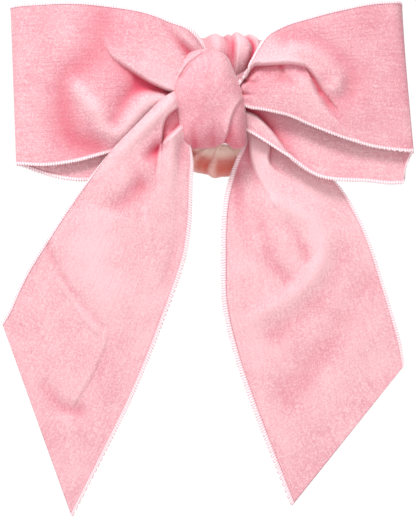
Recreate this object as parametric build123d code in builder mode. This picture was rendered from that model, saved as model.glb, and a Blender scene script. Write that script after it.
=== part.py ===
"""Ribbon bow tied on a slim ruched hair ring. Millimetres, +Z up, the bow facing -Y.

The origin is the centre of the opening that the hair goes through. The bow is one length of
velvet ribbon, so its loops, knot, wrap and tails are the separately shaped stretches of that
ribbon. Each is a node, because they stand in different bodies or take different shapes.
"""

import math
import os

from build123d import *

# ---- ribbon
ribbon_width = 63.5
ribbon_thickness = 1.2
seat_gap = 0.3  # between soft pieces that lie against each other
running_gap = 0.3  # between pieces that turn past each other

# ---- hair ring: gathered ribbon round a sewn elastic, drawn straight at the top by the bow
opening_radius = 14.9  # of the round lower part, where the ring grips the hair
tube_radius = 5.3
tube_flat_depth = 0.7  # of the flat that the elastic makes on the tube's inner side
cover_wall = 1.0
shoulder_radius = 8.0
elastic_width = 4.8
elastic_thickness = 1.2
elastic_slack = 0.15
elastic_lap = 12.0  # where the two ends of the elastic lie on each other
thread_width = 0.6
stitch_length = 2.4
stitch_pitch = 3.6

# ---- the turn of ribbon that ties the bow to the ring
wrap_width = 26.0
wrap_offset = 4.0  # of its middle from the middle of the straight run, along +X
wrap_thickness = 3.8
wrap_edge_thickness = 2.2
wrap_room = 0.4  # between the wrap and the round of the opening
wrap_end_room = 1.0  # between the wrap's end and the ring's shoulder

# ---- knot and the gathered middle of the loops that it holds
knot_width = 29.0
knot_height = 41.0
knot_offset = (-6.0, 7.5)  # of its middle from the opening's centre, in X and Z
knot_back_wall = 2.0
knot_front_wall = 7.0
knot_round = 6.5
gather_thickness = 6.0
gather_height = 24.0

# ---- loops
left_loop_reach = 65.2  # from the knot's side to the fold
right_loop_reach = 69.7
loop_crest = 2.0  # how far the front layer bulges past the gathered middle
loop_end_depth = 11.0  # across the fold
loop_clear_of_ring = 1.2

left_end_top = 45.3
right_end_top = 46.6
left_end_rise = 7.0  # of the fold's lower end above the lowest point of its loop
right_end_rise = 10.0

# ---- tails
hinge_drop = 2.5  # of the hinge lines below the loops
left_tail_lead = 3.4  # of the left tail's plane in front of the gathered middle
tail_sway = 6.0  # how far a tail curves back between its top and its tip
left_tail_drop = 134.0  # from the hinge line to the tip
right_tail_drop = 129.9

# ---- worked out from the sizes above
bore_radius = tube_radius + running_gap
wrap_radius = bore_radius + wrap_thickness
tube_flat = tube_radius - tube_flat_depth  # from the tube's middle to its flat
ring_radius = opening_radius + tube_flat  # of the tube's middle round the opening
neck_half = wrap_offset + wrap_width / 2 + wrap_end_room  # of the straight run that the bow turns on
neck_z = opening_radius + wrap_radius + wrap_room  # of the middle of that run
shoulder_z = neck_z - shoulder_radius
lean = math.atan2(shoulder_z, neck_half) - math.acos(
    (ring_radius - shoulder_radius) / math.hypot(neck_half, shoulder_z)
)  # of the ring's side away from upright
elastic_inset = tube_flat - cover_wall - elastic_slack
knot_x, knot_z = knot_offset
knot_left = knot_x - knot_width / 2
knot_right = knot_x + knot_width / 2
knot_bottom = knot_z - knot_height / 2
knot_back = wrap_radius + seat_gap  # depths are measured forwards, along -Y
gather_back = knot_back + knot_back_wall + seat_gap
gather_front = gather_back + gather_thickness
knot_front = gather_front + seat_gap + knot_front_wall
gather_top = knot_z + gather_height / 2
gather_bottom = knot_z - gather_height / 2
loop_back = tube_radius + loop_clear_of_ring
loop_front = gather_front + loop_crest
left_bottom = left_end_top - ribbon_width - left_end_rise
right_bottom = right_end_top - ribbon_width - right_end_rise
tail_hinge_z = min(left_bottom, right_bottom) - hinge_drop
left_tail_depth = loop_front + left_tail_lead - loop_crest
right_tail_depth = gather_back + gather_thickness / 2
root_end_z = tail_hinge_z + ribbon_thickness / 2 + running_gap
tall = 3 * ribbon_width  # taller than anything it cuts


def tube_section(radius, flat):
    """The tube's section: round but for a flat, which faces -X."""
    with BuildSketch() as section:
        Circle(radius)
        with Locations((-flat - radius, 0)):
            Rectangle(2 * radius, 2 * radius, mode=Mode.SUBTRACT)
    return section.sketch


def ring_tube(radius, flat):
    """The ring's tube: lower arc, leaning side, shoulder and straight neck, then the mirror image."""
    section = tube_section(radius, flat)
    outward = Vector(math.cos(lean), 0, math.sin(lean))
    upward = Vector(-math.sin(lean), 0, math.cos(lean))
    side_foot = outward * ring_radius
    side_head = Vector(neck_half, 0, shoulder_z) + outward * shoulder_radius
    shoulder_axis = Axis((neck_half, 0, shoulder_z), (0, -1, 0))
    with BuildPart() as tube:
        with BuildSketch(Plane(side_foot, x_dir=outward, z_dir=upward)):
            add(section)
        revolve(axis=Axis.Y, revolution_arc=90 + math.degrees(lean))
        with BuildSketch(Plane(side_foot, x_dir=outward, z_dir=upward)):
            add(section)
        extrude(amount=(side_head - side_foot).length)
        with BuildSketch(Plane(side_head, x_dir=outward, z_dir=upward)):
            add(section)
        revolve(axis=shoulder_axis, revolution_arc=90 - math.degrees(lean))
        with BuildSketch(Plane((neck_half, 0, neck_z), x_dir=(0, 0, 1), z_dir=(-1, 0, 0))):
            add(section)
        extrude(amount=neck_half)
        mirror(about=Plane.YZ)
    return tube.part


def ring_region(inset):
    """What the ring's middle line encloses, drawn in by the inset."""
    with BuildSketch() as region:
        Circle(ring_radius - inset)
        with Locations((neck_half, shoulder_z), (-neck_half, shoulder_z)):
            Circle(shoulder_radius - inset)
        make_hull()
    return region.sketch


def save(piece, label):
    """Labels a finished piece and writes its STEP file."""
    piece.part.label = label
    export_step(piece.part, f"parts/{label}.step")


def smooth_outline(points, straight_from):
    """A closed outline: a spline through the points up to straight_from, and straight lines after it."""
    Spline(*points[: straight_from + 1])
    Polyline(*points[straight_from:], points[0])


os.makedirs("parts", exist_ok=True)

# ---- scrunchie_cover: gathered velvet tube round the elastic
with BuildPart() as scrunchie_cover:
    add(ring_tube(tube_radius, tube_flat))
    add(
        ring_tube(tube_radius - cover_wall, tube_flat - cover_wall), mode=Mode.SUBTRACT
    )
save(scrunchie_cover, "scrunchie_cover")

# ---- elastic_band: flat elastic along the inner side of the cover, its ends lapped below
lap_inset = elastic_inset - 2 * elastic_thickness
with BuildPart() as elastic_band:
    with BuildSketch(Plane.XZ.offset(-elastic_width / 2)):
        add(ring_region(elastic_inset - elastic_thickness))
        add(ring_region(elastic_inset), mode=Mode.SUBTRACT)
    extrude(amount=elastic_width)
    with BuildSketch(Plane.XZ.offset(-elastic_width / 2)):
        Circle(ring_radius - lap_inset)
        Circle(ring_radius - lap_inset - elastic_thickness, mode=Mode.SUBTRACT)
        with Locations((0, -ring_radius)):
            Rectangle(elastic_lap, ring_radius, mode=Mode.INTERSECT)
    extrude(amount=elastic_width)
save(elastic_band, "elastic_band")

# ---- elastic_stitches: bars of thread that hold the lapped ends together
lap_angle = math.degrees(elastic_lap / (ring_radius - lap_inset))
with BuildPart() as elastic_stitches:
    with BuildSketch(Plane.XZ.offset(-elastic_width * 0.35)):
        with PolarLocations(
            ring_radius - lap_inset + thread_width / 4,
            4,
            start_angle=-90 - lap_angle * 0.35,
            angular_range=lap_angle * 0.7,
            endpoint=True,
        ):
            Rectangle(thread_width / 2, thread_width)
    extrude(amount=elastic_width * 0.7)
save(elastic_stitches, "elastic_stitches")

# ---- cover_stitches: hand stitches that close the cover, low on its back
stitch_angle = math.degrees(stitch_pitch / ring_radius)
with BuildPart() as cover_stitches:
    with BuildSketch(Plane.XZ.offset(-tube_radius - thread_width)):
        with PolarLocations(
            ring_radius,
            8,
            start_angle=-90 - stitch_angle * 3.5,
            angular_range=stitch_angle * 7,
            endpoint=True,
        ):
            SlotOverall(stitch_length, thread_width, rotation=90)
    extrude(amount=thread_width)
save(cover_stitches, "cover_stitches")

# ---- bow_tacks: thread through the knot's back wall into the wrap
tack_z = min(neck_z, knot_z + knot_height / 2 - 4)
with BuildPart() as bow_tacks:
    with BuildSketch(Plane.XZ.offset(knot_back - knot_back_wall)):
        with Locations((knot_x + knot_width / 6, tack_z)):
            with GridLocations(wrap_width / 8, 0, 3, 1):
                Circle(thread_width / 2)
    extrude(amount=2 * knot_back_wall)
save(bow_tacks, "bow_tacks")

# ---- tie_wrap: the turn of ribbon round the ring, which turns on the ring's straight top
wrap_left = wrap_offset - wrap_width / 2
wrap_right = wrap_offset + wrap_width / 2
wrap_bore_z = neck_z + bore_radius
with BuildPart() as tie_wrap:
    with BuildSketch(Plane.XZ):
        with BuildLine():
            bore_line = Line(
                (wrap_left, wrap_bore_z),
                (wrap_right, wrap_bore_z),
            )
            right_edge = Line(bore_line @ 1, (wrap_right, wrap_bore_z + wrap_edge_thickness))
            crown = ThreePointArc(
                right_edge @ 1,
                (wrap_offset, neck_z + wrap_radius),
                (wrap_left, wrap_bore_z + wrap_edge_thickness),
            )
            Line(crown @ 1, bore_line @ 0)
        make_face()
    revolve(axis=Axis((0, 0, neck_z), (1, 0, 0)))
    add(bow_tacks.part, mode=Mode.SUBTRACT)
save(tie_wrap, "tie_wrap")

# ---- centre_gather: the pleated middle of the loops, held inside the knot
with BuildPart() as centre_gather:
    with BuildSketch(Plane.YZ.offset(knot_left)):
        with Locations((-(gather_back + gather_front) / 2, knot_z)):
            RectangleRounded(gather_thickness, gather_height, gather_thickness / 3)
    extrude(amount=knot_width)
save(centre_gather, "centre_gather")

# ---- knot: the band of ribbon over the gathered middle
with BuildPart() as knot:
    with BuildSketch(Plane.XZ.offset(knot_back)):
        with Locations(knot_offset):
            Ellipse(knot_width / 2, knot_height / 2)
    extrude(amount=knot_front - knot_back)
    fillet(knot.edges().group_by(Axis.Y)[0], knot_round)
    fillet(knot.edges().group_by(Axis.Y)[-1], knot_back_wall / 2)
    with BuildSketch(Plane.YZ.offset(knot_left)):
        with Locations((-(gather_back + gather_front) / 2, knot_z)):
            RectangleRounded(
                gather_thickness + 2 * seat_gap,
                gather_height + 2 * seat_gap,
                gather_thickness / 3 + seat_gap,
            )
    extrude(amount=knot_width, mode=Mode.SUBTRACT)
    add(bow_tacks.part, mode=Mode.SUBTRACT)
save(knot, "knot")

def loop(side, start_x, reach, outline):
    """A loop of ribbon, open above and below: side is -1 to the left and 1 to the right."""
    fold_x = start_x + side * (reach - loop_end_depth / 2)
    middle_x = start_x + side * reach * 0.4
    back_depth = loop_back + loop_end_depth
    with BuildPart() as band:
        with BuildSketch(Plane.XY.offset(-tall / 2)):
            with BuildLine():
                front = ThreePointArc(
                    (start_x, -gather_front),
                    (middle_x, -loop_front),
                    (fold_x, -back_depth),
                )
                fold = ThreePointArc(
                    front @ 1,
                    (start_x + side * reach, -(loop_back + back_depth) / 2),
                    (fold_x, -loop_back),
                )
                Polyline(
                    fold @ 1,
                    (middle_x, -loop_back),
                    (start_x, -gather_back),
                    front @ 0,
                )
            make_face()
            offset(amount=-ribbon_thickness, mode=Mode.SUBTRACT)
        extrude(amount=tall)
        with BuildSketch(Plane.XZ.offset(-tall / 2)):
            with BuildLine():
                Polyline(*outline, close=True)
            make_face()
        extrude(amount=tall, mode=Mode.INTERSECT)
    return band


# The fold of each loop is as tall as the ribbon is wide.
left_loop_outline = [
    (knot_left, gather_top),
    (knot_left - 9, gather_top + 20),
    (knot_left - 34, left_end_top + 1),
    (knot_left - left_loop_reach, left_end_top),
    (knot_left - left_loop_reach, left_end_top - ribbon_width),
    (knot_left - 36, left_bottom),
    (knot_left, gather_bottom),
]
left_loop = loop(-1, knot_left, left_loop_reach, left_loop_outline)
save(left_loop, "left_loop")

right_loop_outline = [
    (knot_right, gather_top),
    (knot_right + 9, gather_top + 11),
    (knot_right + 23, gather_top + 20),
    (knot_right + 60, right_end_top),
    (knot_right + right_loop_reach, right_end_top - ribbon_width + 4),
    (knot_right + right_loop_reach - 4, right_bottom),
    (knot_right + 38, right_bottom + 2),
    (knot_right + 24, gather_bottom - 16),
    (knot_right, gather_bottom),
]
right_loop = loop(1, knot_right, right_loop_reach, right_loop_outline)
save(right_loop, "right_loop")


def flat_stretch(depth, points, straight_from):
    """A flat stretch of ribbon beside the knot, from its front outline in X and Z."""
    with BuildPart() as stretch:
        with BuildSketch(Plane.XZ.offset(depth - ribbon_thickness / 2)):
            with BuildLine():
                smooth_outline(points, straight_from)
            make_face()
            with Locations(knot_offset):
                Ellipse(
                    knot_width / 2 + seat_gap,
                    knot_height / 2 + seat_gap,
                    mode=Mode.SUBTRACT,
                )
        extrude(amount=ribbon_thickness)
    return stretch


# ---- left_tail_root: crosses in front of the left loop, fixed to the knot
left_root_outline = [
    (knot_left - 0.5, knot_z + 2),
    (knot_left - 15, knot_bottom + 7),
    (knot_left - 37.5, root_end_z + 1.5),
    (knot_left - 38.5, root_end_z),
    (knot_left + 7.8, root_end_z),
    (knot_left + 7.8, knot_bottom - 6),
    (knot_left + 9, knot_bottom + 4),
]
left_tail_root = flat_stretch(left_tail_depth, left_root_outline, 3)
save(left_tail_root, "left_tail_root")

# ---- right_tail_root: comes out under the right loop's lower edge
right_root_outline = [
    (knot_right - 1.0, knot_bottom + 8),
    (knot_right + 10, gather_bottom - 9.5),
    (knot_right + 23, gather_bottom - 18.5),
    (knot_right + 39, root_end_z + 1.0),
    (knot_right + 41, root_end_z),
    (knot_right - 6.3, root_end_z),
    (knot_right - 4.5, knot_bottom - 7),
]
right_tail_root = flat_stretch(right_tail_depth, right_root_outline, 4)
save(right_tail_root, "right_tail_root")


def hanging_tail(depth, drop, points, straight_from):
    """A tail below its hinge line: an arc seen from the side, cut to a front outline."""
    with BuildPart() as tail:
        with BuildSketch(Plane.YZ.offset(-tall / 2)):
            with BuildLine(mode=Mode.PRIVATE):
                path = ThreePointArc(
                    (-depth, tail_hinge_z),
                    (-depth + tail_sway, tail_hinge_z - drop * 0.55),
                    (-depth + tail_sway, tail_hinge_z - drop - ribbon_thickness),
                )
            SlotArc(path, ribbon_thickness)
        extrude(amount=tall)
        with BuildSketch(Plane.XZ.offset(-tall / 2)):
            with BuildLine():
                smooth_outline(points, straight_from)
            make_face()
        extrude(amount=tall, mode=Mode.INTERSECT)
    return tail


above_hinge = tail_hinge_z + ribbon_thickness

# ---- left_tail: hangs from the hinge line, its end cut on the slant
left_tip_z = tail_hinge_z - left_tail_drop
left_tail = hanging_tail(
    left_tail_depth,
    left_tail_drop,
    [
        (-63.1, left_tip_z),
        (-37.7, left_tip_z + 55.3),
        (-23.4, left_tip_z + 92.2),
        (-14.8, left_tip_z + 116.8),
        (-12.7, above_hinge),
        (-58.5, above_hinge),
        (-67.5, left_tip_z + 114),
        (-89.0, left_tip_z + 79.1),
    ],
    4,
)
save(left_tail, "left_tail")

# ---- right_tail
right_tip_z = tail_hinge_z - right_tail_drop
right_tail = hanging_tail(
    right_tail_depth,
    right_tail_drop,
    [
        (29.1, right_tip_z),
        (9.4, right_tip_z + 49.2),
        (2.5, right_tip_z + 71.7),
        (0.0, right_tip_z + 104.5),
        (2.3, above_hinge),
        (48.5, above_hinge),
        (64.0, right_tip_z + 96.3),
        (74.6, right_tip_z + 56.5),
    ],
    4,
)
save(right_tail, "right_tail")
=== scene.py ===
import math
import bpy
import bmesh
import numpy as np
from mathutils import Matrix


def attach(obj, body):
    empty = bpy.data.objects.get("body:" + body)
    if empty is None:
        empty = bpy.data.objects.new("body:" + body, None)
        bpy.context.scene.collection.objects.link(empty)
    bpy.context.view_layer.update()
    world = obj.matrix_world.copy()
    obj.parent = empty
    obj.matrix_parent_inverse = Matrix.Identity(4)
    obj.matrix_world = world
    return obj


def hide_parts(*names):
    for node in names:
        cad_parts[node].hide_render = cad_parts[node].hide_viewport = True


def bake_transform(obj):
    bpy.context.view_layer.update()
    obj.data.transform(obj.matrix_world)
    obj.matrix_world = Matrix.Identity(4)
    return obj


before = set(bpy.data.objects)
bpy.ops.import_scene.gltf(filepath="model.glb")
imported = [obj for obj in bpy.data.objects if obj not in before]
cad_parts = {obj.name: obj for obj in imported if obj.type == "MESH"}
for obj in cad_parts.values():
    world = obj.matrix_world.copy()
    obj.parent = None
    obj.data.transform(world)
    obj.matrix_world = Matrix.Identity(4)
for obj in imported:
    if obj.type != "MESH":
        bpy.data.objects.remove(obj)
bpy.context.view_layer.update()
print("frame loaded")

mm = 0.001
ribbonWidth = 63.5    # mm, selvedge to selvedge
selvedgeWidth = 1.2   # mm
picotSpacing = 1.05   # mm; real ones are nearer 0.6, drawn coarse enough to show
picotReach = 0.65     # mm that each picot stands out
wall = {"ribbon": 0.7, "selvedge": 0.95, "wrap": 0.8}  # mm, pile and all
oneBand = 0.314       # wave scale that gives one band for each unit of the pattern's space


# A smooth curve through points: a Hermite cubic between neighbours, each slope the mean of the
# two chords beside it weighted by their lengths, and t the share of the whole chord length.
def curve(points, t, knots=None):
    p = np.asarray(points, float)
    step = np.linalg.norm(np.diff(p, axis=0), axis=1)
    if knots is None:
        knots = np.concatenate([[0], np.cumsum(step)]) / step.sum()
    k = np.asarray(knots, float)
    h = np.diff(k)[:, None]
    chord = np.diff(p, axis=0) / h
    slope = np.empty_like(p)
    slope[0], slope[-1] = chord[0], chord[-1]
    slope[1:-1] = (chord[:-1] * h[1:] + chord[1:] * h[:-1]) / (h[1:] + h[:-1])
    t = np.asarray(t, float)
    i = np.clip(np.searchsorted(k, t, side="right") - 1, 0, len(p) - 2)
    w = h[i, 0]
    s = ((t - k[i]) / w)[..., None]
    w = w[..., None]
    return ((2*s**3 - 3*s**2 + 1) * p[i] + (s**3 - 2*s**2 + s) * w * slope[i]
            + (3*s**2 - 2*s**3) * p[i + 1] + (s**3 - s**2) * w * slope[i + 1])


# An S-shaped step from 0 to 1, level at both ends: three x squared less two x cubed.
def smooth(x):
    x = np.clip(x, 0, 1)
    return x * x * (3 - 2 * x)


# Distance from points in the front plane to a drawn line: the nearest run's distance, its sign
# positive on the line's left, and how far along the line the nearest place is, 0 to 1.
def lineDistance(x, z, line):
    lineRuns = 23
    places = curve(line, np.linspace(0, 1, lineRuns + 1))
    start, run = places[:-1], np.diff(places, axis=0)
    px, pz = x[..., None] - start[:, 0], z[..., None] - start[:, 1]
    f = np.clip((px * run[:, 0] + pz * run[:, 1]) / (run ** 2).sum(1), 0, 1)
    r = np.hypot(px - f * run[:, 0], pz - f * run[:, 1])
    n = r.argmin(-1)
    pick = lambda m: np.take_along_axis(m, n[..., None], -1)[..., 0]
    side = np.sign(pick(run[:, 0] * pz - run[:, 1] * px))
    return pick(r) * np.where(side == 0, 1, side), (n + pick(f)) / lineRuns


# Height of the cloth's folds over the front plane, in mm. A ridge or valley is a bell curve
# across its line. A lip stands up on the line's left and drops away on its right, each side
# dying off exponentially over its own distance, with a smooth step between them as wide as
# "crisp"; a "high" of -1 turns it over. Each fold's strength goes from its first end share to
# its second along its line.
def foldHeight(x, z, folds):
    total = np.zeros_like(x)
    for f in folds:
        s, along = lineDistance(x, z, f["line"])
        ends = f.get("ends", (1, 0))
        power = ends[0] + (ends[1] - ends[0]) * smooth(along)
        if "up" in f:
            crisp = f.get("crisp", 0.5)
            left = f["up"] * np.exp(-np.clip(s, 0, None) / f["upWide"])
            right = -f["down"] * np.exp(np.clip(s, None, 0) / f["downWide"])
            mix = smooth((s + crisp) / (2 * crisp))
            total += power * (left * mix + right * (1 - mix)) * f.get("high", 1)
        else:
            total += power * f["high"] * np.exp(-(s / f["wide"]) ** 2)
    return total


# A point of a ribbon: the two edge curves at share t of their lengths, joined straight across at
# share v, bowed forward by a half sine, and raised by the folds: the front ones up to the share
# "foldsEnd", where the ribbon turns back on itself, and the back ones behind that.
def ribbonPoint(piece, t, v):
    low = curve(piece["low"], t, piece["knots"])
    high = curve(piece["high"], t, piece["knots"])
    v3 = v[..., None]
    p = low * (1 - v3) + high * v3
    turn = piece.get("foldsEnd", 2)  # past 1, so never, on a ribbon that doesn't turn back
    front = 1 - smooth((t - turn) / 0.05)
    behind = smooth((t - turn - 0.10) / 0.05)
    crown = np.interp(t, *piece["crown"]) * np.sin(np.pi * np.clip(v, 0, 1)) ** 0.8
    lift = foldHeight(p[..., 0], p[..., 2], piece["folds"]) * front
    if piece.get("backFolds"):
        lift = lift + foldHeight(p[..., 0], p[..., 2], piece["backFolds"]) * behind
    p[..., 1] -= crown + lift
    return p, lift


# The four corners of each cell of a grid, by point number, with the last row or column joined to
# the first where it closes.
def linkGrid(nu, nv, closeU=False, closeV=False):
    u = np.arange(nu if closeU else nu - 1)
    v = np.arange(nv if closeV else nv - 1)
    u, v = np.meshgrid(u, v, indexing="ij")
    u2, v2 = (u + 1) % nu, (v + 1) % nv
    return np.stack([u * nv + v, u2 * nv + v, u2 * nv + v2, u * nv + v2], -1).reshape(-1, 4)


# Puts a grid of points into a mesh object, with the cloth's own measure as its UV map (metres
# along and across) and any per-point values as attributes.
def gridObject(name, points, uv=None, values=None, closeU=False, closeV=False, flip=False):
    nu, nv = points.shape[:2]
    faces = linkGrid(nu, nv, closeU, closeV)
    if flip:
        faces = faces[:, ::-1]
    mesh = bpy.data.meshes.new(name)
    mesh.from_pydata((points.reshape(-1, 3) * mm).tolist(), [], faces.tolist())
    if uv is not None:
        layer = mesh.uv_layers.new(name="cloth")
        loops = np.empty(len(mesh.loops), int)
        mesh.loops.foreach_get("vertex_index", loops)
        layer.data.foreach_set("uv", (uv.reshape(-1, 2) * mm)[loops].ravel())
    for key, value in (values or {}).items():
        mesh.attributes.new(key, "FLOAT", "POINT").data.foreach_set("value", value.ravel())
    mesh.polygons.foreach_set("use_smooth", np.ones(len(mesh.polygons), bool))
    obj = bpy.data.objects.new(name, mesh)
    bpy.context.scene.collection.objects.link(obj)
    return obj


# Length along the cloth's middle line, summed from row to row.
def clothMeasure(p):
    along = np.linalg.norm(np.diff(p[:, p.shape[1] // 2], axis=0), axis=1)
    return np.concatenate([[0], np.cumsum(along)])


# Gives a surface a wall of even thickness, half to each side unless the offset moves it.
def thicken(obj, thickness, offset=0):
    mod = obj.modifiers.new("thickness", "SOLIDIFY")
    mod.thickness = thickness * mm
    mod.offset = offset
    mod.use_even_offset = False


# An sRGB hex colour as linear light, by the standard's straight foot and 2.4 power.
def linear(code):
    c = [int(code[i:i + 2], 16) / 255 for i in (1, 3, 5)]
    return [x / 12.92 if x <= 0.04045 else ((x + 0.055) / 1.055) ** 2.4 for x in c] + [1]


# Adds a shader node. A setting goes to the input of that name or number, or else to the node
# itself. A link is given by input name, with _ for a space, or by number as i0, i1 and so on.
def addNode(tree, kind, settings=None, **links):
    node = tree.nodes.new("ShaderNode" + kind)
    for key, value in (settings or {}).items():
        if isinstance(key, int) or key in node.inputs:
            node.inputs[key].default_value = value
        else:
            setattr(node, key, value)
    for key, source in links.items():
        byNumber = key[0] == "i" and key[1:].isdigit()
        tree.links.new(source, node.inputs[int(key[1:]) if byNumber else key.replace("_", " ")])
    return node


# An empty material, with its node tree and output.
def newMaterial(name):
    mat = bpy.data.materials.new(name)
    mat.use_nodes = True
    tree = mat.node_tree
    tree.nodes.clear()
    out = addNode(tree, "OutputMaterial")
    return mat, tree, out


velvetLook = {
    "pile": "#ca7d8b",       # cut pile seen straight on
    "brushedAndLit": "#e7bac0",    # pile laid over, which throws light back, and the painted highlight's colour
    "deep": "#c84c62",       # painted shade between folds, where pile sees only pile
    "sheen": "#ffe3e8",
    "selvedge": "#fbe6e9",
    "picotShade": "#e9b9c2",
    "ribSpacing": 0.95,      # mm; real ribs are about 0.4, drawn coarse enough to show
    "tuftSize": 0.72,        # mm; real tufts are about 0.3, drawn coarse for the same reason
    "cloudSize": 14,         # mm, patches where the pile lies a little differently
}


# Polyester velvet ribbon, woven and cut: a matt pile, pale where it is brushed or seen edge-on,
# with faint ribs along it and flecks of laid pile; painted shade deepens it where it closes on
# itself in folds, and a painted highlight pales its crests.
def velvet(name, look, ribs=1.0):
    mat, tree, out = newMaterial(name)
    uv = addNode(tree, "UVMap", {"uv_map": "cloth"}).outputs["UV"]
    pos = addNode(tree, "TexCoord").outputs["Object"]
    fold = addNode(tree, "Attribute", {"attribute_name": "fold"}).outputs["Fac"]
    brushAndPaintedHighlight = addNode(tree, "Attribute", {"attribute_name": "brushAndPaintedHighlight"}).outputs["Fac"]
    cloud = addNode(tree, "TexNoise", {"Scale": 1 / (look["cloudSize"] * mm), "Detail": 4.0,
                    "Roughness": 0.6}, Vector=pos).outputs["Fac"]
    fleck = addNode(tree, "TexNoise", {"Scale": 1 / (look["tuftSize"] * mm), "Detail": 3.0,
                    "Roughness": 0.75}, Vector=pos).outputs["Fac"]
    # ribs: thin lines that follow the length, broken up along it
    stretched = addNode(tree, "Mapping", {"Scale": (70, 1 / (look["ribSpacing"] * mm), 1)},
                        Vector=uv).outputs["Vector"]
    rib = addNode(tree, "TexNoise", {"Scale": 1.0, "Detail": 2.0, "Roughness": 0.6},
                  Vector=stretched).outputs["Fac"]
    # each pattern becomes a little more or less brushed pile
    ribTone = addNode(tree, "MapRange", {"From Min": 0.3, "From Max": 0.7, "To Min": -0.09 * ribs,
                      "To Max": 0.09 * ribs}, Value=rib).outputs["Result"]
    fleckTone = addNode(tree, "MapRange", {"From Min": 0.3, "From Max": 0.7, "To Min": -0.14,
                        "To Max": 0.14}, Value=fleck).outputs["Result"]
    cloudTone = addNode(tree, "MapRange", {"From Min": 0.3, "From Max": 0.7, "To Min": 0.18,
                        "To Max": 0.50}, Value=cloud).outputs["Result"]
    tone = addNode(tree, "Math", {"operation": "ADD"}, i0=cloudTone, i1=ribTone).outputs[0]
    tone = addNode(tree, "Math", {"operation": "ADD"}, i0=tone, i1=fleckTone).outputs[0]
    # painted glints: light specks at the tips of the tufts that lie over, more where the cloth
    # turns to the light on its crests
    paintedGlint = addNode(tree, "MapRange", {"From Min": 0.50, "From Max": 0.68, "To Min": 0.0,
                    "To Max": 1.0}, Value=fleck).outputs["Result"]
    glintOnCrest = addNode(tree, "MapRange", {"From Min": 0.0, "From Max": 1.0, "To Min": 0.45,
                  "To Max": 1.3}, Value=brushAndPaintedHighlight).outputs["Result"]
    paintedGlint = addNode(tree, "Math", {"operation": "MULTIPLY"}, i0=paintedGlint, i1=glintOnCrest).outputs[0]
    # painted highlight: the crests, with their glints, pale the pile towards the brushed colour
    brushAndPaintedLight = addNode(tree, "Math", {"operation": "MULTIPLY_ADD", 1: 0.75},
                    i0=brushAndPaintedHighlight, i2=paintedGlint).outputs[0]
    tone = addNode(tree, "Math", {"operation": "ADD", "use_clamp": True},
                   i0=tone, i1=brushAndPaintedLight).outputs[0]
    body = addNode(tree, "Mix", {"data_type": "RGBA"}, i0=tone)
    body.inputs[6].default_value = linear(look["pile"])
    body.inputs[7].default_value = linear(look["brushedAndLit"])
    # painted shade: deep in a fold the colour turns to the deep fold colour
    depth = addNode(tree, "Math", {"operation": "POWER", "use_clamp": True, 1: 1.3},
                    i0=fold).outputs[0]
    colour = addNode(tree, "Mix", {"data_type": "RGBA"}, i0=depth, i6=body.outputs[2])
    colour.inputs[7].default_value = linear(look["deep"])
    if "lining" in look:
        bare = addNode(tree, "Attribute", {"attribute_name": "bare"}).outputs["Fac"]
        colour = addNode(tree, "Mix", {"data_type": "RGBA"}, i0=bare, i6=colour.outputs[2])
        colour.inputs[7].default_value = linear(look["lining"])
    nap = addNode(tree, "Math", {"operation": "ADD"}, i0=fleck, i1=rib).outputs[0]
    bump = addNode(tree, "Bump", {"Strength": 0.5, "Distance": 0.5 * mm}, Height=nap)
    shader = addNode(tree, "BsdfPrincipled", {"Roughness": 0.85, "Specular IOR Level": 0.15,
                     "Sheen Weight": 0.5, "Sheen Roughness": 0.3,
                     "Sheen Tint": linear(look["sheen"])},
                     Base_Color=colour.outputs[2], Normal=bump.outputs["Normal"])
    tree.links.new(shader.outputs[0], out.inputs[0])
    return mat


# Woven polyester selvedge: tight and flat, near white at its rim and pinker where it meets the
# pile, with a tick of shade at each picot.
def selvedgeCloth(name, look):
    mat, tree, out = newMaterial(name)
    uv = addNode(tree, "UVMap", {"uv_map": "cloth"}).outputs["UV"]
    across = addNode(tree, "Attribute", {"attribute_name": "across"}).outputs["Fac"]
    stretched = addNode(tree, "Mapping", {"Scale": (1 / (picotSpacing * mm), 1 / (3.0 * mm), 1)},
                        Vector=uv).outputs["Vector"]
    tick = addNode(tree, "TexWave", {"Scale": oneBand, "Distortion": 1.5, "Detail": 1.0},
                   Vector=stretched).outputs["Fac"]
    thread = addNode(tree, "Mix", {"data_type": "RGBA"}, i0=tick)
    thread.inputs[6].default_value = linear(look["picotShade"])
    thread.inputs[7].default_value = linear(look["selvedge"])
    inner = addNode(tree, "MapRange", {"From Min": 0.45, "From Max": 1.0, "To Min": 0.0,
                    "To Max": 0.85}, Value=across).outputs["Result"]
    colour = addNode(tree, "Mix", {"data_type": "RGBA"}, i0=inner, i6=thread.outputs[2])
    colour.inputs[7].default_value = linear(look["pile"])
    bump = addNode(tree, "Bump", {"Strength": 0.5, "Distance": 0.3 * mm}, Height=tick)
    shader = addNode(tree, "BsdfPrincipled", {"Roughness": 0.7, "Specular IOR Level": 0.25,
                     "Sheen Weight": 0.2, "Sheen Roughness": 0.5},
                     Base_Color=colour.outputs[2], Normal=bump.outputs["Normal"])
    tree.links.new(shader.outputs[0], out.inputs[0])
    return mat


velvetCloth = velvet("wovenCutVelvet", velvetLook)
# the ring's velvet is gathered pile inwards in places, so it shows its redder ground and lining;
# its deepest red, in the folds, is painted shade
ruchedLook = dict(velvetLook, deep="#d0604e", pile="#d98e86", brushedAndLit="#efc4bb",
                  lining="#fff1e0")
ruchedCloth = velvet("ruchedCutVelvet", ruchedLook, ribs=0.4)
edgeCloth = selvedgeCloth("wovenSelvedge", velvetLook)

elasticLook = {
    "rubber": "#cfc4b6",     # glimpsed between the strands' covering yarn
    "cover": "#efe8dd",
    "strandWidth": 0.6,      # mm
}
threadLook = {
    "colour": "#e3a5ae",
    "grooveShade": 0.62,     # light left between two plies
    "turnLength": 0.5,       # mm
}


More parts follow.
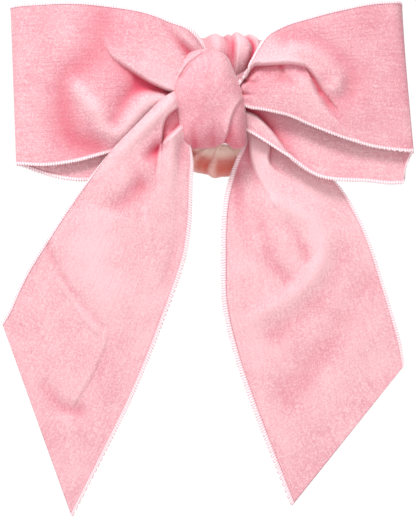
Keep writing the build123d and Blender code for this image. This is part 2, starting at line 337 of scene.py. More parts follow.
# Braided elastic: matt, chalky, with a close rib of covered rubber strands along the band.
def braidedElastic(name, look):
    mat, tree, out = newMaterial(name)
    pos = addNode(tree, "TexCoord").outputs["Object"]
    squeezed = addNode(tree, "Mapping", {"Scale": (1 / (3.0 * mm), 1 / (look["strandWidth"] * mm),
                       1 / (3.0 * mm))}, Vector=pos).outputs["Vector"]
    strand = addNode(tree, "TexWave", {"bands_direction": "Y", "Scale": oneBand,
                     "Distortion": 1.0, "Detail": 1.0}, Vector=squeezed).outputs["Fac"]
    colour = addNode(tree, "Mix", {"data_type": "RGBA"}, i0=strand)
    colour.inputs[6].default_value = linear(look["rubber"])
    colour.inputs[7].default_value = linear(look["cover"])
    bump = addNode(tree, "Bump", {"Strength": 0.6, "Distance": 0.3 * mm}, Height=strand)
    shader = addNode(tree, "BsdfPrincipled", {"Roughness": 0.8, "Specular IOR Level": 0.3},
                     Base_Color=colour.outputs[2], Normal=bump.outputs["Normal"])
    tree.links.new(shader.outputs[0], out.inputs[0])
    return mat


# Spun polyester sewing thread: two plies twisted, a slight gloss, each turn a slanting shade.
def spunThread(name, look):
    mat, tree, out = newMaterial(name)
    pos = addNode(tree, "TexCoord").outputs["Object"]
    ply = addNode(tree, "TexWave", {"bands_direction": "DIAGONAL", "Distortion": 1.2,
                  "Scale": oneBand / (look["turnLength"] * mm)}, Vector=pos).outputs["Fac"]
    colour = addNode(tree, "Mix", {"data_type": "RGBA"}, i0=ply)
    lit = linear(look["colour"])
    colour.inputs[6].default_value = [c * look["grooveShade"] for c in lit[:3]] + [1]
    colour.inputs[7].default_value = lit
    bump = addNode(tree, "Bump", {"Strength": 0.5, "Distance": 0.1 * mm}, Height=ply)
    shader = addNode(tree, "BsdfPrincipled", {"Roughness": 0.5, "Specular IOR Level": 0.4},
                     Base_Color=colour.outputs[2], Normal=bump.outputs["Normal"])
    tree.links.new(shader.outputs[0], out.inputs[0])
    return mat


elasticCloth = braidedElastic("braidedElastic", elasticLook)
pinkThread = spunThread("spunPolyesterThread", threadLook)
cadMaterials = {"elastic_band": elasticCloth, "elastic_stitches": pinkThread,
                "cover_stitches": pinkThread, "bow_tacks": pinkThread}
for node, mat in cadMaterials.items():
    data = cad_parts[node].data
    data.materials.clear()
    data.materials.append(mat)
print("materials made")


# Painted shade and painted highlight that the velvet reads: how deep in a fold a point is, and
# how far up a crest, both from the folds' height over the given scale, with any of the piece's
# painted light added to the highlight.
def foldShade(lift, scale, brushAndPaintedLight=0):
    return {"fold": np.clip(-lift / scale, 0, 1),
            "brushAndPaintedHighlight": np.clip(lift / scale * 0.8 + brushAndPaintedLight, 0, 1)}


# A ribbon: its points on an even grid of shares along and across, a wall, and a selvedge on
# either side. Light painted along the ribbon, partly pile brushed pale and partly brightening
# parts that lie in shade, is read from the piece's table.
def makeRibbon(piece):
    nu, nv = piece["grid"]
    t = np.linspace(0, 1, nu)[:, None] * np.ones((1, nv))
    v = np.linspace(0, 1, nv)[None, :] * np.ones((nu, 1))
    p, lift = ribbonPoint(piece, t, v)
    along = clothMeasure(p)
    uv = np.stack([along[:, None] * np.ones((1, nv)), v * ribbonWidth], -1)
    shade = foldShade(lift, piece["shadeScale"], np.interp(t, *piece["brushAndPaintedLight"]))
    obj = gridObject(piece["name"], p, uv, shade, flip=piece.get("flip", False))
    obj.data.materials.append(velvetCloth)
    thicken(obj, wall["ribbon"])
    edges = [makeSelvedge(piece, along[-1], side) for side in ("low", "high")]
    return obj, edges, along[-1]


# A selvedge: the ribbon's own surface over its outer millimetre, with a thicker wall, its
# outermost row pushed out into picots by a rectified sine along the edge. Its width is read
# along the edge from a small table, so it can fade where the ribbon's edge turns away.
def makeSelvedge(piece, length, side):
    table = piece.get(side + "Selvedge", ([0, 1], [1, 1]))
    start, end = table[0][0], table[0][-1]
    stepsPerPicot = 4
    nu = int(length * (end - start) / picotSpacing) * stepsPerPicot + 1
    rows = [0.0, 0.12, 0.4, 0.8, selvedgeWidth]
    t = np.linspace(start, end, nu)[:, None] * np.ones((1, len(rows)))
    low = curve(piece["low"], t[:, 0], piece["knots"])
    high = curve(piece["high"], t[:, 0], piece["knots"])
    wide = np.linalg.norm(high - low, axis=1)
    band = np.array(rows) * np.ones((nu, 1))
    picots = np.abs(np.sin(np.arange(nu) * math.pi / stepsPerPicot)) ** 0.7
    band[:, 0] = -picotReach * picots
    share = band * np.interp(t, *table) / wide[:, None]
    v = share if side == "low" else 1 - share
    p, lift = ribbonPoint(piece, t, v)
    along = clothMeasure(p)
    uv = np.stack([along[:, None] * np.ones((1, len(rows))), band], -1)
    across = {"across": np.clip(band / selvedgeWidth, 0, 1)}
    flip = piece.get("flip", False) != (side == "high")
    obj = gridObject(piece["name"] + "_" + side + "Selvedge", p, uv, across, flip=flip)
    obj.data.materials.append(edgeCloth)
    thicken(obj, wall["selvedge"])
    return obj


# Each ribbon piece below, in mm with z up and y away from the viewer: its two edges as points
# taken at the shares "knots", its crown along its length, and its folds as lines across the
# front. A fold has either "high" and "wide", or the "up", "down" and widths of a lip.
leftLoop = {
    "name": "leftLoopRibbon", "grid": (370, 128), "foldsEnd": 0.50,
    "highSelvedge": ([0, 0.06, 0.10, 1], [1.3, 1.3, 0.7, 0.7]),
    "high": [(-5, -15, 25.5), (-12.3, -19.5, 35.8), (-21.3, -21.0, 39.6), (-29.5, -21.5, 42.8),
             (-45.9, -20.5, 46.0), (-60, -19, 47.3), (-75, -17.5, 46.9), (-84.0, -15.5, 46.2),
             (-86.4, -12, 45.6), (-84.4, -8.4, 44.5), (-74, -7.2, 41.5), (-58, -7, 38.5),
             (-40, -8.5, 33), (-24, -11, 26), (-10, -13, 18)],
    "low": [(-14, -15, -1.0), (-22, -19, -4.5), (-30, -20, -8.5), (-37.5, -20.5, -11.3),
            (-50, -20, -15.0), (-61, -19, -17.8), (-74, -17.5, -19.2), (-81.8, -16.8, -18.8),
            (-84.0, -15.6, -18.7), (-82.2, -14.8, -19.3), (-72.6, -15.3, -22.8),
            (-56.2, -16.6, -25.3), (-38, -17, -20), (-23, -15, -8), (-10, -13, -2)],
    "knots": [0, 0.07, 0.13, 0.18, 0.27, 0.35, 0.43, 0.475, 0.495, 0.515, 0.57, 0.66, 0.77, 0.88,
              1],
    "crown": ([0, 0.05, 0.2, 0.4, 0.5], [0, 2.0, 2.2, 0.6, 0]),
    # painted light along the ribbon: pile brushed pale near its turn, and the back layer
    # brightened where the front layer shades it
    "brushAndPaintedLight": ([0, 0.34, 0.44, 0.5, 0.54, 1], [0.08, 0.08, 0.18, 0.18, 0.25, 0.25]),
    "shadeScale": 2.6,
    "folds": [
        {"line": [(-49.6, 37.8), (-48.4, 31.3), (-45.1, 25.5), (-37.7, 20.2), (-33.6, 17.3),
                  (-21.3, 11.2), (-16, 9.5)],
         "up": 2.4, "down": 5.2, "upWide": 6.5, "downWide": 3.6, "crisp": 0.8, "ends": (0, 1)},
        {"line": [(-16.0, 8.3), (-21.4, 8.8), (-30.1, 10.1), (-35.8, 8.8), (-39.9, 4.2),
                  (-41.6, -0.4)],
         "up": 2.2, "down": 1.6, "upWide": 4.5, "downWide": 5.0, "crisp": 1.6, "ends": (1, 0.1)},
        {"line": [(-34.0, 14.0), (-38.5, 9.0), (-42.2, 2.6), (-43.5, -1.5)],
         "high": -1.6, "wide": 3.6, "ends": (0.8, 0.6)},
        {"line": [(-24.2, 8.3), (-30.7, 5.5), (-37.7, -1.5), (-42.2, -5.6), (-47.6, -5.2),
                  (-50.8, 2.2), (-58.2, 10.4)],
         "high": 2.0, "wide": 3.6, "ends": (1, 0.5)},
        {"line": [(-49.5, 40.0), (-50.5, 33.0), (-55.6, 24.6), (-61.1, 18.1), (-64.3, 10.1),
                  (-64.5, 0.1), (-61.0, -8.0), (-52.0, -11.5)],
         "high": -2.2, "wide": 6.5, "ends": (0.5, 0.85)},
        {"line": [(-60.2, 14.5), (-57.0, 9.2), (-53.5, 3.5)],
         "high": 1.1, "wide": 3.2, "ends": (1, 0.8)},
        {"line": [(-23.5, 37.5), (-18.2, 31.9), (-12.9, 25.6)],
         "high": -2.4, "wide": 1.8, "ends": (0.2, 1)},
        {"line": [(-18.5, 37.5), (-13.5, 32.0), (-8.5, 27.0)],
         "high": 1.0, "wide": 1.2, "ends": (0.2, 1)},
    ],
}

rightLoop = {
    "name": "rightLoopRibbon", "grid": (370, 128), "foldsEnd": 0.49, "flip": True,
    "highSelvedge": ([0, 0.12, 0.16, 0.86, 0.9, 1], [1.6, 1.6, 0.7, 0.7, 0.05, 0.05]),
    "high": [(3, -15, 13), (7.4, -18.5, 14.8), (12.3, -20, 23.5), (16.8, -20, 31.7),
             (24.6, -20.5, 37.4), (37.3, -20.5, 41.5), (51, -19.5, 45.0), (65.6, -17.5, 47.5),
             (71.0, -16.0, 47.7), (72.6, -14.4, 47.6), (73.6, -12, 46.8), (73.2, -10, 46.0),
             (71.6, -8.6, 45.2), (68.5, -8.0, 44.3), (60, -7.2, 41), (44, -7.5, 36),
             (26, -10, 29), (13, -12.5, 21.5), (3, -13.5, 16)],
    "low": [(3, -15, 6.5), (7.4, -18.5, 5.9), (11.5, -20, 4.4), (17.5, -20.5, 3.4),
            (27, -21, 1.2), (37.3, -20.5, -3.2), (52, -19.5, -8.7), (68, -17.8, -12.6),
            (76.3, -17.0, -13.5), (78.3, -16.2, -13.5), (77.2, -15.2, -15.4),
            (75.2, -14.8, -20.6), (74.5, -14.8, -25.9), (71.5, -15.2, -26.5), (60, -16.5, -25.7),
            (40, -18.0, -23.8), (26.2, -18.3, -14.9), (11.5, -17, -5.6), (2.5, -15.5, -1.0)],
    "knots": [0, 0.03, 0.08, 0.13, 0.20, 0.28, 0.36, 0.44, 0.465, 0.48, 0.495, 0.51, 0.53, 0.55,
              0.62, 0.74, 0.85, 0.94, 1],
    "crown": ([0, 0.05, 0.2, 0.4, 0.5], [0, 1.5, 2.4, 0.8, 0]),
    # painted light along the ribbon, brightest on the back layer, which the front layer shades
    "brushAndPaintedLight": ([0, 0.08, 0.26, 0.34, 0.5, 0.54, 1], [0.1, 0.14, 0.1, 0, 0, 0.2, 0.2]),
    "shadeScale": 2.7,
    "folds": [
        {"line": [(9.5, 17.0), (13.0, 21.6), (18.1, 22.0), (22.6, 22.4), (29.4, 22.4),
                  (33.9, 21.4), (36.7, 19.1), (39.0, 15.7), (41.2, 11.8), (44.5, 7.5)],
         "up": 2.9, "down": 3.2, "upWide": 4.0, "downWide": 4.2, "crisp": 0.9, "ends": (1, 0.25)},
        {"line": [(26.0, 33.0), (33.0, 32.0), (39.8, 30.2), (45.5, 26.5), (50.5, 21.5),
                  (53.4, 16.0), (52.0, 10.5), (46.3, 8.2)],
         "high": -1.6, "wide": 5.0, "ends": (0.6, 0.7)},
        {"line": [(30.0, 28.6), (35.5, 27.6), (40.7, 25.2), (44.6, 21.8), (47.8, 16.9),
                  (47.0, 12.4)],
         "high": 1.9, "wide": 2.8, "ends": (0.6, 0.6)},
        {"line": [(33.0, 19.6), (36.4, 15.6), (39.4, 10.5)],
         "high": -1.6, "wide": 1.8, "ends": (0.6, 0.7)},
        {"line": [(40.5, 14.5), (43.4, 8.2), (48.0, 2.0)],
         "high": -0.5, "wide": 2.0, "ends": (1, 0.2)},
        {"line": [(54.5, -8.0), (46.5, -0.5), (40.8, 6.9), (36.8, 15.0)],
         "up": 2.2, "down": 0.9, "upWide": 5.5, "downWide": 3.0, "crisp": 1.3, "ends": (0.3, 1)},
        {"line": [(24.0, 16.0), (29.0, 14.0), (34.0, 12.5)],
         "high": -1.0, "wide": 2.2, "ends": (1, 0)},
        {"line": [(24.2, 21.0), (26.0, 17.5), (28.0, 15.2)],
         "high": -1.0, "wide": 1.2, "ends": (1, 0.2)},
        {"line": [(7.6, 15.4), (12, 14.8), (17.5, 14.1)],
         "high": -1.3, "wide": 0.9, "ends": (1, 0)},
        {"line": [(8.0, 9.8), (11, 9.6), (15.0, 9.6)], "high": -1.3, "wide": 0.9, "ends": (1, 0)},
        {"line": [(9, 12.6), (15, 18), (19, 20.5)], "high": 0.9, "wide": 1.3, "ends": (1, 0.4)},
    ],
    "backFolds": [
        {"line": [(36.0, -22.6), (30.5, -18.1), (26.0, -13.0), (22.6, -8.5), (18.1, -2.9),
                  (13.6, 1.1), (9.6, 2.7)],
         "up": 2.0, "down": 4.0, "upWide": 3.0, "downWide": 4.2, "crisp": 0.6, "ends": (0.1, 1)},
    ],
}

leftTail = {
    "name": "leftTailRibbon", "grid": (380, 130),
    "highSelvedge": ([0.30, 0.40, 1], [0.05, 0.6, 0.8]), "lowSelvedge": ([0.02, 1], [1.25, 1.25]),
    # painted light along the tail, palest over its middle run
    "brushAndPaintedLight": ([0, 0.1, 0.3, 0.55, 0.8, 1], [0.0, 0.05, 0.38, 0.5, 0.28, 0.25]),
    "high": [(-15, -18, 12.0), (-19.5, -22.5, 10.8), (-24.4, -24, 7.6), (-33.6, -24.5, -1.5),
             (-45.1, -24, -13.4), (-56.6, -22.5, -28.2), (-63.5, -21, -38.0), (-71.3, -20, -49.9),
             (-79.9, -17, -63.8), (-87.6, -15.5, -80.1), (-90.0, -15, -84.2)],
    "low": [(-12, -18, 4.0), (-15.8, -21, -2.5), (-13.8, -21.5, -9.0), (-12.3, -21.5, -17.1),
            (-12.7, -21.5, -26.5), (-13.5, -20, -45.4), (-16.0, -19, -59.3), (-25.4, -17, -85.6),
            (-35.7, -16, -111.0), (-48.8, -15.5, -138.0), (-61.6, -15, -163.2)],
    "knots": [0, 0.05, 0.10, 0.19, 0.30, 0.43, 0.52, 0.62, 0.76, 0.93, 1],
    "crown": ([0, 0.1, 0.3, 0.6, 1], [0, 1.5, 2.0, 1.0, 0.4]),
    "folds": [
        {"line": [(-16.9, -3.2), (-20.3, -6.7), (-23.7, -9.6), (-25.5, -13.6), (-25.9, -20.5),
                  (-26.2, -29.0), (-27.0, -38.0)],
         "up": 2.2, "down": 2.6, "upWide": 4.5, "downWide": 4.0, "crisp": 1.0, "ends": (1, 0.0)},
        {"line": [(-20.6, -7.5), (-20.2, -14), (-20.8, -25), (-22, -36)],
         "high": 1.3, "wide": 2.4, "ends": (1, 0.1)},
        {"line": [(-24.6, -10.5), (-24.3, -4.4), (-22.8, 0.4), (-19.5, 3.6), (-16, 5)],
         "up": 1.6, "down": 2.2, "upWide": 3.0, "downWide": 2.4, "crisp": 0.5, "ends": (0.7, 1)},
        {"line": [(-25.8, -12.5), (-30.0, -15.5), (-35.0, -18.0)],
         "high": -2.0, "wide": 2.6, "ends": (1, 0)},
        {"line": [(-20.5, 7.0), (-31, -3.4), (-43, -16), (-52, -29)],
         "high": 2.2, "wide": 2.6, "ends": (1, 0)},
        {"line": [(-37, -17), (-33, -26), (-32, -40)],
         "high": -0.9, "wide": 3.0, "ends": (0.4, 0.3)},
        {"line": [(-16.2, -10), (-17.5, -20), (-18, -34)],
         "high": -0.9, "wide": 2.2, "ends": (1, 0)},
        {"line": [(-60, -30), (-50, -36), (-41, -35), (-34, -28)],
         "high": -1.3, "wide": 4.2, "ends": (0.2, 0.9)},
        {"line": [(-52, -42), (-50, -56), (-45, -72)],
         "high": 1.2, "wide": 7, "ends": (0.7, 0.6)},
        {"line": [(-71.7, -52.4), (-65.3, -65.3), (-57.0, -76.3), (-48.8, -85.5)],
         "high": -0.7, "wide": 1.7, "ends": (0.8, 0.5)},
        {"line": [(-67.1, -66.2), (-56.1, -81.8), (-51.5, -87.3)],
         "high": 0.6, "wide": 1.0, "ends": (0.6, 1)},
        {"line": [(-47.9, -74.4), (-46.9, -89.1), (-51.5, -102.0), (-59.0, -115.0)],
         "up": 0.35, "down": 0.6, "upWide": 2.4, "downWide": 2.6, "crisp": 0.9,
         "high": -1, "ends": (0.4, 1)},
        {"line": [(-74, -72), (-70, -92), (-66, -108)],
         "high": 0.8, "wide": 5, "ends": (0.5, 0.3)},
        {"line": [(-72.5, -110), (-66, -118), (-58, -120.3)],
         "high": -1.0, "wide": 3.0, "ends": (0.6, 0.8)},
        {"line": [(-63.5, -124.0), (-61.5, -134), (-60.0, -144)],
         "high": 0.8, "wide": 2.4, "ends": (1, 0.3)},
        {"line": [(-31.4, -38.0), (-29.5, -50), (-27.7, -61.6)],
         "high": 0.7, "wide": 1.3, "ends": (0.8, 0.3)},
        {"line": [(-17.6, -30.0), (-18.9, -50), (-23.2, -68.0)],
         "high": -0.9, "wide": 2.8, "ends": (0.2, 0.6)},
    ],
    "shadeScale": 2.7,
}

rightTail = {
    "name": "rightTailRibbon", "grid": (380, 130), "flip": True,
    "highSelvedge": ([0.1, 1], [0.9, 0.9]), "lowSelvedge": ([0.02, 1], [1.35, 1.35]),
    # painted light along the tail, palest over its middle run
    "brushAndPaintedLight": ([0, 0.12, 0.3, 0.55, 0.8, 1], [0.0, 0.35, 0.45, 0.45, 0.32, 0.28]),
    "low": [(6, -9.5, 6.0), (9.6, -9.5, -4.0), (9.2, -10, -10.0), (6.5, -11, -16.5),
            (3.3, -12, -25.7), (0.8, -12.5, -40.5), (0.4, -12, -59.3), (1.2, -11, -78.2),
            (4.9, -10, -94.2), (12.0, -9.5, -115.5), (22.1, -9, -141.7), (29.0, -9, -158.9)],
    "high": [(10, -9, 2), (14, -9.2, -3.0), (20, -9.5, -6.5), (31.0, -10, -14.5),
             (44.5, -11, -24.2), (54.9, -12, -38.8), (60.3, -12, -50.7), (66.0, -11, -67.9),
             (69.4, -10.2, -79.0), (72.6, -9.5, -90.0), (74.2, -9, -98.2), (74.7, -9, -101.7)],
    "knots": [0, 0.06, 0.10, 0.17, 0.26, 0.38, 0.47, 0.60, 0.70, 0.82, 0.95, 1],
    "crown": ([0, 0.1, 0.3, 0.6, 1], [0, 1.0, 2.0, 1.0, 0.3]),
    "folds": [
        {"line": [(10.8, -4), (11.5, -8.5), (12.3, -16.3), (14.8, -23.5), (17.8, -29.2),
                  (20.6, -34.0)],
         "up": 2.4, "down": 2.4, "upWide": 4.0, "downWide": 5.0, "crisp": 0.8, "ends": (1, 0.12)},
        {"line": [(19.7, -9.4), (19.3, -17.9), (30.3, -26.5)],
         "up": 1.8, "down": 2.0, "upWide": 3.0, "downWide": 3.0, "crisp": 0.6,
         "high": -1, "ends": (1, 0)},
        {"line": [(5.6, -20), (6.4, -30), (8.4, -42), (11, -54)],
         "high": -1.2, "wide": 3.2, "ends": (1, 0.3)},
        {"line": [(22.0, -34.0), (27.6, -37.1), (36.8, -42.6), (41.9, -51.8), (38.6, -62.9),
                  (28.5, -73.0), (14.6, -81.3)],
         "high": 1.2, "wide": 3.4, "ends": (1, 0.6)},
        {"line": [(14.5, -40.0), (17.4, -48.2), (20.2, -58.3), (26.6, -65.7)],
         "high": -0.9, "wide": 3.4, "ends": (0.5, 1)},
        {"line": [(27.5, -43.4), (31.0, -49.0), (35.3, -57.4)],
         "high": -1.0, "wide": 2.4, "ends": (0.5, 1)},
        {"line": [(50.1, -54.0), (45.1, -66.1), (36.8, -77.7), (21.1, -88.9)],
         "high": -0.9, "wide": 4.6, "ends": (0.4, 0.6)},
        {"line": [(60, -66), (50, -84), (37, -102), (26, -114)],
         "high": -0.9, "wide": 7, "ends": (0.5, 0.6)},
        {"line": [(56, -92), (46, -108), (36, -124)], "high": 0.8, "wide": 6, "ends": (0.6, 0.5)},
        {"line": [(12, -98), (19, -116), (28, -136)], "high": 0.8, "wide": 5, "ends": (0.6, 0.5)},
    ],
    "shadeScale": 2.7,
}

for piece, node in ((leftLoop, "left_loop"), (rightLoop, "right_loop")):
    obj, edges, length = makeRibbon(piece)
    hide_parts(node)
    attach(obj, "bow")
    for e in edges:
        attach(e, "bow")
    print(piece["name"], "made, length", round(length, 1))

# the tails' bend lies at the loops' lower edge; each is baked in place where it is drawn
for piece, body, nodes, flat, area in (
    (leftTail, "left_tail", ("left_tail", "left_tail_root"), (0.0635, 0.190), 0.0093),
    (rightTail, "right_tail", ("right_tail", "right_tail_root"), (0.0635, 0.185), 0.0093),
):
    obj, edges, length = makeRibbon(piece)
    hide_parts(*nodes)
    for e in [obj, *edges]:
        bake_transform(e)
    print(piece["name"], "made, length", round(length, 1))


knotRibbon = {
    "outline": [(-5.5, 28.8), (1.2, 26.2), (5.3, 18.5), (8.0, 11.6), (9.5, 5.0), (9.9, -4.0),
                (8.9, -12.0), (4.8, -12.6), (1.6, -10.4), (-2.9, -12.0), (-8.0, -12.6),
                (-13.1, -12.4), (-16.6, -10.6), (-18.4, 0.1), (-20.3, 7.5), (-20.6, 13.7),
                (-18.2, 20.4), (-12.8, 27.2)],
    "front": 28.5, "middle": 17.0, "back": 10.0,  # mm in front of the ring's plane
    "shadeScale": 2.5,
    "folds": [
        {"line": [(-19.6, 10.0), (-18.5, 15.4), (-16.9, 18.2), (-14.5, 21.8), (-10.9, 24.8),
                  (-8.0, 26.7), (-4.6, 28.6)],
         "up": 1.3, "down": 1.3, "upWide": 1.3, "downWide": 1.8, "crisp": 0.5,
         "ends": (0.6, 0.6)},
        {"line": [(-16.8, 16.6), (-15.2, 19.1), (-13.0, 21.2)],
         "high": -1.0, "wide": 0.7, "ends": (0.6, 0.6)},
        {"line": [(-17.0, 8.0), (-9.0, 13.0), (0, 14.0)],
         "high": 0.5, "wide": 3.5, "ends": (0.5, 0.5)},
        {"line": [(-14, -4.0), (-6, 1.5), (0.5, 2.5)],
         "high": -0.5, "wide": 2.6, "ends": (0.4, 0.6)},
        {"line": [(1.0, -12), (1.1, -9.3), (2.3, -6.6), (3.2, -2.4), (4.4, 1.9), (6.8, 6.0),
                  (10.0, 9.0)],
         "up": 2.0, "down": 1.5, "upWide": 1.7, "downWide": 2.2, "crisp": 0.45, "ends": (1, 0.3)},
        {"line": [(-11, -12), (-11.5, -6), (-13, 4)], "high": -0.9, "wide": 1.6, "ends": (1, 0)},
        {"line": [(-3, -12), (-3.5, -6), (-3, 2)], "high": -0.7, "wide": 1.4, "ends": (1, 0)},
    ],
}


# The knot's dome: rings of the outline drawn in to its middle, each ring's depth a rounded
# quarter ellipse, front half then back half, the two poles and the seam closed. Painted shade
# darkens its lower part as in a fold, and a painted highlight lightens its top.
def makeKnot(spec):
    n, rings = 240, 90
    rim = curve(spec["outline"] + spec["outline"][:1], np.linspace(0, 1, n, endpoint=False))
    centre = rim.mean(0)
    turn = np.linspace(0, math.pi, rings)[:, None]
    r = np.sin(turn) ** 0.9
    x = centre[0] + (rim[:, 0] - centre[0]) * r
    z = centre[1] + (rim[:, 1] - centre[1]) * r
    half = np.where(turn < math.pi / 2, spec["front"] - spec["middle"],
                    spec["middle"] - spec["back"])
    depth = spec["middle"] + half * np.sign(np.cos(turn)) * np.abs(np.cos(turn)) ** 0.75
    lift = foldHeight(x, z, spec["folds"]) * smooth((math.pi / 2 + 0.1 - turn) / 0.3)
    p = np.stack([x, -(depth * np.ones_like(x) + lift), z], -1)
    share = np.linspace(0, 1, n, endpoint=False)[None, :]
    uv = np.stack([turn * 20 * np.ones_like(x), share * 100 * np.ones_like(x)], -1)
    shade = foldShade(lift, spec["shadeScale"])
    # painted shade growing towards the knot's bottom, and a painted highlight towards its top
    shade["fold"] = np.clip(shade["fold"] + 0.5 * smooth((1 - z) / 13), 0, 1)
    shade["brushAndPaintedHighlight"] = np.clip(shade["brushAndPaintedHighlight"] + 0.15 * smooth((z - 12) / 14), 0, 1)
    obj = gridObject("knotRibbon", p, uv, shade, closeV=True)
    closeMesh(obj)
    obj.data.materials.append(velvetCloth)
    return obj


# Merges the doubled points at poles and seams, then turns every face outwards.
def closeMesh(obj):
    bm = bmesh.new()
    bm.from_mesh(obj.data)
    bmesh.ops.remove_doubles(bm, verts=bm.verts, dist=1e-6)
    bmesh.ops.recalc_face_normals(bm, faces=bm.faces)
    bm.to_mesh(obj.data)
    bm.free()


knot = makeKnot(knotRibbon)
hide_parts("knot", "centre_gather")
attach(knot, "bow")
print("knot made")


ringCover = {
    "path": [(0, 24.7), (9, 24.7), (18, 24.7), (23.7, 22.3), (26, 16.7), (25.5, 14.0),
             (18.4, -6.4), (13.8, -13.8), (7.5, -18.0), (0, -19.5), (-7.5, -18.0), (-13.8, -13.8),
             (-18.4, -6.4), (-25.5, 14.0), (-26, 16.7), (-23.7, 22.3), (-18, 24.7), (-9, 24.7),
             (0, 24.7)],
    "radius": 5.0, "seed": 11,
    "foldCount": 15,
    "foldRise": 0.18, "sag": 0.88, "pleat": 0.05, "fine": 0.008,  # shares of the radius
    "lean": 0.018, "foldWidth": 0.0085,  # shares of the way round
    "liningRise": 4.6,  # mm that the gathered lining stands into the opening at the bottom
}


# The ring's cover: a round section carried along the ring's line. Narrow raised folds cross it
# on a slant, each a bell curve over the distance along the tube with a pleat beside it, and the
# wide stretches between them sag in. At the bottom the inner side is drawn up by a smooth step.
def makeRing(spec):
    n, m = 900, 80
    rng = np.random.default_rng(spec["seed"])
    s = np.linspace(0, 1, n, endpoint=False)
    line = curve(spec["path"], s)
    ahead = np.roll(line, -1, 0) - np.roll(line, 1, 0)
    ahead /= np.linalg.norm(ahead, axis=1)[:, None]
    out = np.stack([-ahead[:, 1], ahead[:, 0]], -1)
    phi = np.linspace(0, 2 * math.pi, m, endpoint=False)[None, :]
    along = s[:, None]
    swell = np.zeros((n, m))
    pleat = np.zeros((n, m))
    for k in range(spec["foldCount"]):
        place = (k + 0.5 + 0.5 * (rng.random() - 0.5)) / spec["foldCount"]
        lean = spec["lean"] * (0.6 + 0.8 * rng.random())
        wide = spec["foldWidth"] * (0.7 + 0.7 * rng.random())
        gap = (along - place - lean * np.sin(phi + 0.3) + 0.5) % 1 - 0.5
        rise = 0.7 + 0.3 * rng.random()
        swell = np.maximum(swell, rise * np.exp(-(gap / wide) ** 2))
        pleat = np.maximum(pleat, np.exp(-((gap - 1.5 * wide) / (0.7 * wide)) ** 2))
    fine = (np.sin(2 * math.pi * 97 * along + 3 * np.sin(phi))
            * np.sin(2 * math.pi * 41 * along + 2))
    r = spec["radius"] * (spec["sag"] + spec["foldRise"] * swell - spec["pleat"] * pleat
                          + spec["fine"] * fine * (1 - swell))
    outward = np.sign((out * (line - line.mean(0))).sum(1).mean())
    towardHole = -outward * np.cos(phi)
    bottom = smooth((16 - np.abs(line[:, :1])) / 14) * (line[:, 1:] < 0)
    reach = r + spec["liningRise"] * bottom * smooth(towardHole)
    x = line[:, :1] + out[:, :1] * reach * np.cos(phi)
    z = line[:, 1:] + out[:, 1:] * reach * np.cos(phi)
    p = np.stack([x, -r * np.sin(phi), z], -1)
    a = along * 2 * math.pi
    uv = np.stack([a * 24 * np.ones_like(x), phi * 5 * np.ones_like(x)], -1)
    # painted shade in the sagging stretches between the gathers and in their pleats, fading
    # towards the ring's opening; a painted highlight on the gathers
    paintedHollowShade = np.clip(0.85 * (1 - swell) ** 3 + 0.35 * pleat, 0, 1)
    paintedHollowShade = paintedHollowShade * smooth(0.75 + 0.55 * outward * np.cos(phi)) * np.abs(np.sin(phi))
    shade = {"fold": paintedHollowShade, "brushAndPaintedHighlight": swell * 0.6,
             "bare": smooth((towardHole - 0.30) / 0.45) * np.ones_like(x)}
    obj = gridObject("ringCover", p, uv, shade, closeU=True, closeV=True)
    closeMesh(obj)
    obj.data.materials.append(ruchedCloth)
    return obj


ring = makeRing(ringCover)
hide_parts("scrunchie_cover")
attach(ring, "ring")

tieWrap = {
    "left": -12.0, "right": 17.6, "axis": 24.7, "radius": 10.6, "endRadius": 6.6,  # mm
    "creases": [  # place along the ring, lean to the front, depth as a share, width
        (-7.2, 1.0, 0.09, 1.8), (0.4, 2.4, 0.15, 2.2), (4.0, 0.8, 0.10, 0.9),
        (9.3, 3.2, 0.20, 1.3), (15.2, 1.4, 0.12, 1.5),
    ],
    "ripple": 0.014,  # share of the radius
}


# The turns of ribbon round the ring: a barrel about the ring's straight run, cut by creases,
# each a bell curve about a line that leans and bows as it goes round, with a low rim beside it.
def makeWrap(spec):
    n, m = 220, 160
    s = np.linspace(0, 1, n)[:, None]
    phi = np.linspace(0, 2 * math.pi, m, endpoint=False)[None, :]
    x = spec["left"] + (spec["right"] - spec["left"]) * s * np.ones_like(phi)
    cut = np.zeros_like(x)
    for place, lean, deep, wide in spec["creases"]:
        at = place + lean * (0.9 * np.sin(phi) + 0.45 * np.sin(2 * phi))
        d = (x - at) / wide
        cut = cut + deep * np.exp(-d ** 2) - 0.25 * deep * np.exp(-(d - 2.2) ** 2)
    swell = (spec["radius"] - spec["endRadius"]) * np.sin(math.pi * s) ** 0.45
    ripple = np.sin(x * 0.9 + 2 * np.sin(phi)) * np.sin(x * 0.5 + 3 * phi)
    r = (spec["endRadius"] + swell) * (1 - cut + spec["ripple"] * ripple)
    p = np.stack([x, -r * np.sin(phi), spec["axis"] + r * np.cos(phi)], -1)
    uv = np.stack([phi * 9 * np.ones_like(x), x], -1)
    # painted shade in the creases; a painted highlight on the rims beside them and over the top
    # of the wrap
    shade = {"fold": np.clip(cut * 5.0, 0, 1) ** 1.4,
             "brushAndPaintedHighlight": np.clip(-cut * 16, 0, 0.6) + 0.40 * np.clip(np.cos(phi), 0, 1)}
    obj = gridObject("tieWrapRibbon", p, uv, shade, closeV=True)
    closeMesh(obj)
    obj.data.materials.append(velvetCloth)
    thicken(obj, wall["wrap"], -1)
    return obj


wrap = makeWrap(tieWrap)
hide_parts("tie_wrap")
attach(wrap, "bow")
print("ring made")


lights = {  # metres and watts
    "softboxAbove": {"place": (-0.35, -0.75, 1.1), "size": 0.45, "power": 19},
    "panelInFront": {"place": (0.1, -1.6, -0.2), "size": 0.9, "power": 4},
}
lightTarget = (0, 0, -0.05)


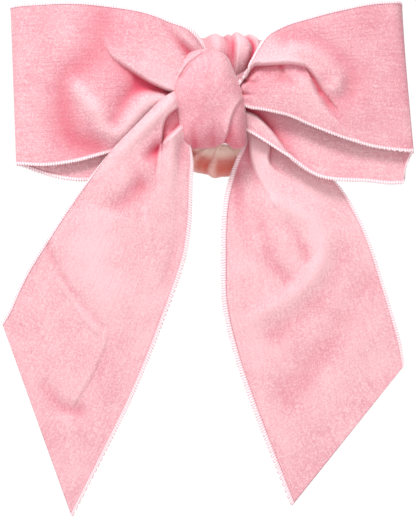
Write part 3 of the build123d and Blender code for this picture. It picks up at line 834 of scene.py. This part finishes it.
# A round softbox, turned so that its face looks from its place to the target.
def areaLight(name, spec, target):
    data = bpy.data.lights.new(name, "AREA")
    data.shape, data.size, data.energy = "DISK", spec["size"], spec["power"]
    light = bpy.data.objects.new(name, data)
    bpy.context.scene.collection.objects.link(light)
    light.location = spec["place"]
    aim = np.array(target) - np.array(spec["place"])
    light.rotation_euler = (math.atan2(math.hypot(aim[0], aim[1]), -aim[2]), 0,
                            math.atan2(-aim[0], aim[1]))


for name, spec in lights.items():
    areaLight(name, spec, lightTarget)

# the studio's walls: white at eye level, a little dimmer below and a good deal dimmer overhead
world = bpy.data.worlds.new("paleStudio")
bpy.context.scene.world = world
world.use_nodes = True
sky = world.node_tree
direction = addNode(sky, "TexCoord").outputs["Generated"]
height = addNode(sky, "SeparateXYZ", Vector=direction).outputs["Z"]
below = addNode(sky, "MapRange", {"From Min": -0.5, "From Max": -0.08, "To Min": 0.8,
                "To Max": 1.03}, Value=height).outputs["Result"]
above = addNode(sky, "MapRange", {"From Min": 0.08, "From Max": 0.5, "To Min": 0.0,
                "To Max": 0.55}, Value=height).outputs["Result"]
level = addNode(sky, "Math", {"operation": "SUBTRACT"}, i0=below, i1=above).outputs[0]
sky.links.new(level, sky.nodes["Background"].inputs[1])
sky.nodes["Background"].inputs[0].default_value = (1, 1, 1, 1)
bpy.context.scene.view_settings.view_transform = "Standard"

floorDisc = {"radius": 1.5, "height": -0.27, "colour": "#efedeb"}  # metres
floorMesh = bpy.data.meshes.new("floorTop")
bm = bmesh.new()
bmesh.ops.create_circle(bm, cap_ends=True, radius=floorDisc["radius"], segments=128)
bmesh.ops.translate(bm, verts=bm.verts, vec=(0, 0, floorDisc["height"]))
bm.to_mesh(floorMesh)
bm.free()
floorTop = bpy.data.objects.new("floorTop", floorMesh)
bpy.context.scene.collection.objects.link(floorTop)
# matt paper or board: no gloss, so the light falls off softly over it
floorMat, floorTree, floorOut = newMaterial("paleMattFloor")
floorShader = addNode(floorTree, "BsdfPrincipled", {"Base Color": linear(floorDisc["colour"]),
                      "Roughness": 0.9})
floorTree.links.new(floorShader.outputs[0], floorOut.inputs[0])
floorMesh.materials.append(floorMat)

# a long view, square on, so that the bow keeps its true proportions
camera = {"distance": 3.0, "across": -5.7 * mm, "height": -57.9 * mm,
          "bowDepth": 0.015, "frameHeight": 212.79 * mm, "sensor": 36}
cameraData = bpy.data.cameras.new("camera")
cameraData.sensor_width = camera["sensor"]
reach = camera["distance"] - camera["bowDepth"]
cameraData.lens = camera["sensor"] * reach / camera["frameHeight"]
cameraData.clip_end = 20
cameraObject = bpy.data.objects.new("camera", cameraData)
bpy.context.scene.collection.objects.link(cameraObject)
cameraObject.location = (camera["across"], -camera["distance"], camera["height"])
cameraObject.rotation_euler = (math.pi / 2, 0, 0)
bpy.context.scene.camera = cameraObject
print("stage set")
